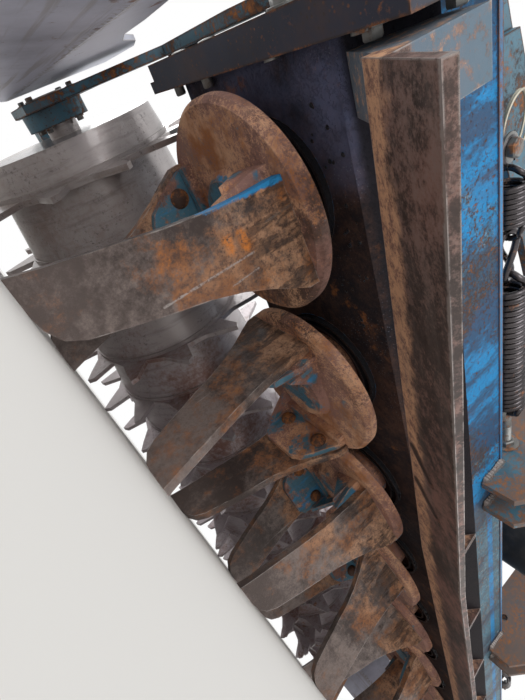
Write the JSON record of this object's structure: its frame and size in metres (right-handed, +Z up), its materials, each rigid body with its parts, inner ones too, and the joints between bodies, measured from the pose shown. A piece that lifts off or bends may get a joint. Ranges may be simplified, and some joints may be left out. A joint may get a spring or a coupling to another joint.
{
  "type": "power harrow",
  "caption": "Tractor-mounted power harrow with a row of counter-turning knife-tine rotors under a closed trough, a toothed packer roller, sprung side plates and a three-point headstock.",
  "frame": {"origin": "on the ground, under the middle of the outer box", "axes": "+X along the machine to its right-hand end, +Y forward in the direction of travel, +Z up"},
  "size_m": [2.622, 1.174, 1.11],
  "materials": {
    "blue_paint": "weathered sky-blue paint with rust speckles",
    "cast_blue": "painted cast housing",
    "worn_steel": "bare steel, brown with orange rust",
    "rotor_cast": "rusty casting with paint remnants",
    "tine_steel": "worn forged blade, brown to grey",
    "roller_steel": "soil-polished steel with rust patches",
    "frame_brown": "dark weathered steel",
    "side_steel": "scratched grey-blue sheet steel",
    "spring_steel": "dark oiled spring steel",
    "bright_steel": "machined splined steel",
    "guard_plastic": "black moulded guard"
  },
  "bodies": {
    "frame": {"trough": "blue_paint", "trough_cover": "blue_paint", "front_bar": "worn_steel", "gearbox": "cast_blue", "shaft_guard": "guard_plastic", "headstock_beam": "blue_paint", "headstock_mast": "blue_paint", "headstock_braces": "blue_paint", "end_plate_right": "frame_brown", "end_plate_left": "frame_brown", "link_plates_right": "frame_brown", "link_plates_left": "frame_brown", "springs_right": "spring_steel", "springs_left": "spring_steel", "eye_bolt_right": "spring_steel", "eye_bolt_left": "spring_steel"},
    "input_shaft": {"input_shaft": "bright_steel"},
    "roller_frame": {"roller_frame": "frame_brown", "scraper_bar": "frame_brown", "scrapers": "worn_steel"},
    "roller": {"roller_drum": "roller_steel", "roller_teeth": "roller_steel"},
    "side_plate_right": {"side_plate_right": "side_steel", "side_arm_right": "blue_paint"},
    "side_plate_left": {"side_plate_left": "side_steel", "side_arm_left": "blue_paint"},
    "rotor_1": {"rotor_1_holder": "rotor_cast", "rotor_1_tines": "tine_steel"},
    "rotor_2": {"rotor_2_holder": "rotor_cast", "rotor_2_tines": "tine_steel"},
    "rotor_3": {"rotor_3_holder": "rotor_cast", "rotor_3_tines": "tine_steel"},
    "rotor_4": {"rotor_4_holder": "rotor_cast", "rotor_4_tines": "tine_steel"},
    "rotor_5": {"rotor_5_holder": "rotor_cast", "rotor_5_tines": "tine_steel"},
    "rotor_6": {"rotor_6_holder": "rotor_cast", "rotor_6_tines": "tine_steel"},
    "rotor_7": {"rotor_7_holder": "rotor_cast", "rotor_7_tines": "tine_steel"},
    "rotor_8": {"rotor_8_holder": "rotor_cast", "rotor_8_tines": "tine_steel"}
  },
  "joints": [
    {"name": "rotor_1_spin", "type": "hinge", "parent": "frame", "child": "rotor_1", "pos_m": [-1.05, 0.257, 0.34], "axis": [0, 0, 1], "continuous": true},
    {"name": "rotor_2_spin", "type": "hinge", "parent": "frame", "child": "rotor_2", "pos_m": [-0.75, 0.257, 0.34], "axis": [0, 0, 1], "continuous": true},
    {"name": "rotor_3_spin", "type": "hinge", "parent": "frame", "child": "rotor_3", "pos_m": [-0.45, 0.257, 0.34], "axis": [0, 0, 1], "continuous": true},
    {"name": "rotor_4_spin", "type": "hinge", "parent": "frame", "child": "rotor_4", "pos_m": [-0.15, 0.257, 0.34], "axis": [0, 0, 1], "continuous": true},
    {"name": "rotor_5_spin", "type": "hinge", "parent": "frame", "child": "rotor_5", "pos_m": [0.15, 0.257, 0.34], "axis": [0, 0, 1], "continuous": true},
    {"name": "rotor_6_spin", "type": "hinge", "parent": "frame", "child": "rotor_6", "pos_m": [0.45, 0.257, 0.34], "axis": [0, 0, 1], "continuous": true},
    {"name": "rotor_7_spin", "type": "hinge", "parent": "frame", "child": "rotor_7", "pos_m": [0.75, 0.257, 0.34], "axis": [0, 0, 1], "continuous": true},
    {"name": "rotor_8_spin", "type": "hinge", "parent": "frame", "child": "rotor_8", "pos_m": [1.05, 0.257, 0.34], "axis": [0, 0, 1], "continuous": true},
    {"name": "input_shaft_spin", "type": "hinge", "parent": "frame", "child": "input_shaft", "pos_m": [0, 0.422, 0.628], "axis": [0, 1, 0], "continuous": true},
    {"name": "roller_lift", "type": "hinge", "parent": "frame", "child": "roller_frame", "pos_m": [0, 0.257, 0.418], "axis": [1, 0, 0], "range_deg": [0, 10]},
    {"name": "roller_spin", "type": "hinge", "parent": "roller_frame", "child": "roller", "pos_m": [0, -0.241, 0.25], "axis": [1, 0, 0], "continuous": true},
    {"name": "side_plate_right_swing", "type": "hinge", "parent": "frame", "child": "side_plate_right", "pos_m": [0.6, 0.403, 0.765], "axis": [0, -1, 0], "range_deg": [0, 12]},
    {"name": "side_plate_left_swing", "type": "hinge", "parent": "frame", "child": "side_plate_left", "pos_m": [-0.6, 0.403, 0.765], "axis": [0, 1, 0], "range_deg": [0, 12]}
  ],
  "couplings": [
    {"joint": "rotor_2_spin", "follows": "rotor_1_spin", "ratio": -1},
    {"joint": "rotor_3_spin", "follows": "rotor_1_spin", "ratio": 1},
    {"joint": "rotor_4_spin", "follows": "rotor_1_spin", "ratio": -1},
    {"joint": "rotor_5_spin", "follows": "rotor_1_spin", "ratio": 1},
    {"joint": "rotor_6_spin", "follows": "rotor_1_spin", "ratio": -1},
    {"joint": "rotor_7_spin", "follows": "rotor_1_spin", "ratio": 1},
    {"joint": "rotor_8_spin", "follows": "rotor_1_spin", "ratio": -1},
    {"joint": "input_shaft_spin", "follows": "rotor_1_spin", "ratio": 2.8}
  ]
}
